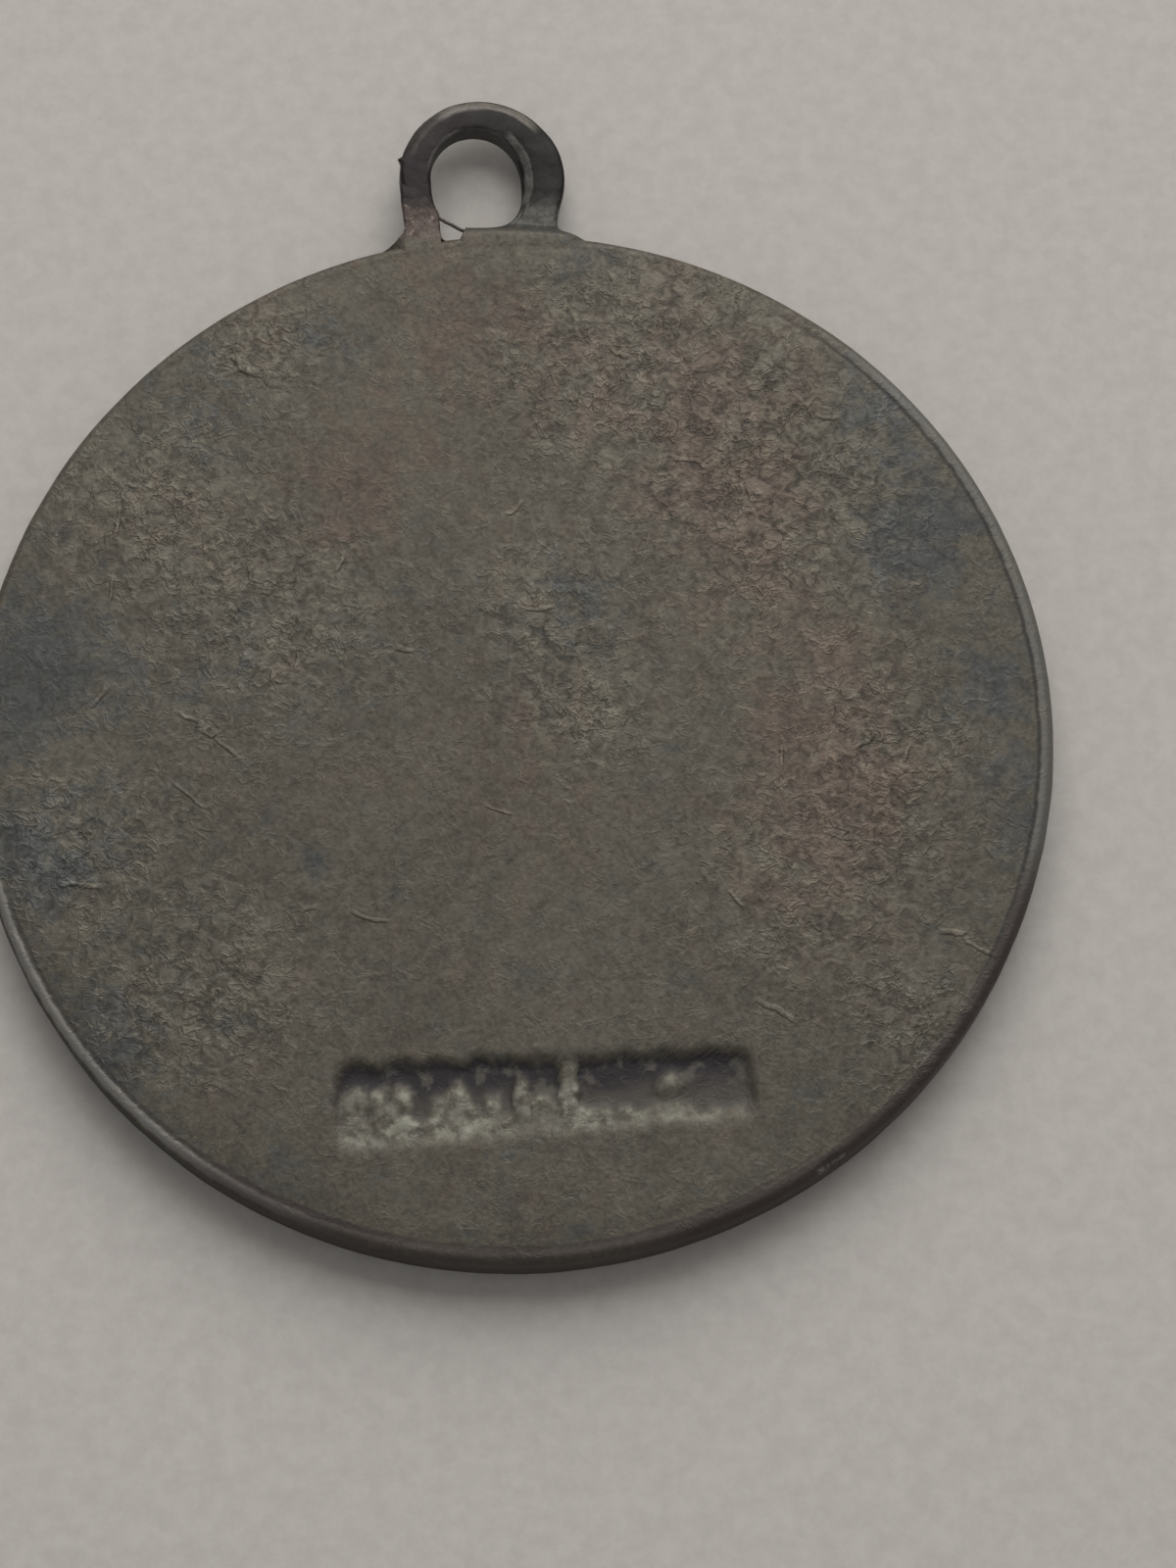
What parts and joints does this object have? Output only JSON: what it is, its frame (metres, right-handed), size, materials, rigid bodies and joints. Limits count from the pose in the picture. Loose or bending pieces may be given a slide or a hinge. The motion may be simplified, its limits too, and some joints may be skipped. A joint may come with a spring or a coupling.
{
  "type": "medal",
  "caption": "Small round struck award medal with a soldered suspension eyelet, a plain patinated reverse and a punched cartouche near its foot.",
  "frame": {"origin": "under the middle of the whole medal, eyelet included, on the plane that the obverse's rim rests on", "axes": "+Y from the disc towards the eyelet, +Z out of the reverse, +X to the right when the reverse is seen with the eyelet up"},
  "size_m": [0.03, 0.0344, 0.0017],
  "materials": {
    "disc_metal": "matte grey-brown patina, mottled warm and cool, lighter worn edge",
    "eyelet_metal": "near-black satin patina with lighter rubbed edges",
    "solder": "dull brownish grey tarnished solder"
  },
  "bodies": {
    "root": {"medal_disc": "disc_metal", "suspension_eyelet": "eyelet_metal", "solder_fillet_left": "solder", "solder_fillet_right": "solder"}
  },
  "joints": []
}
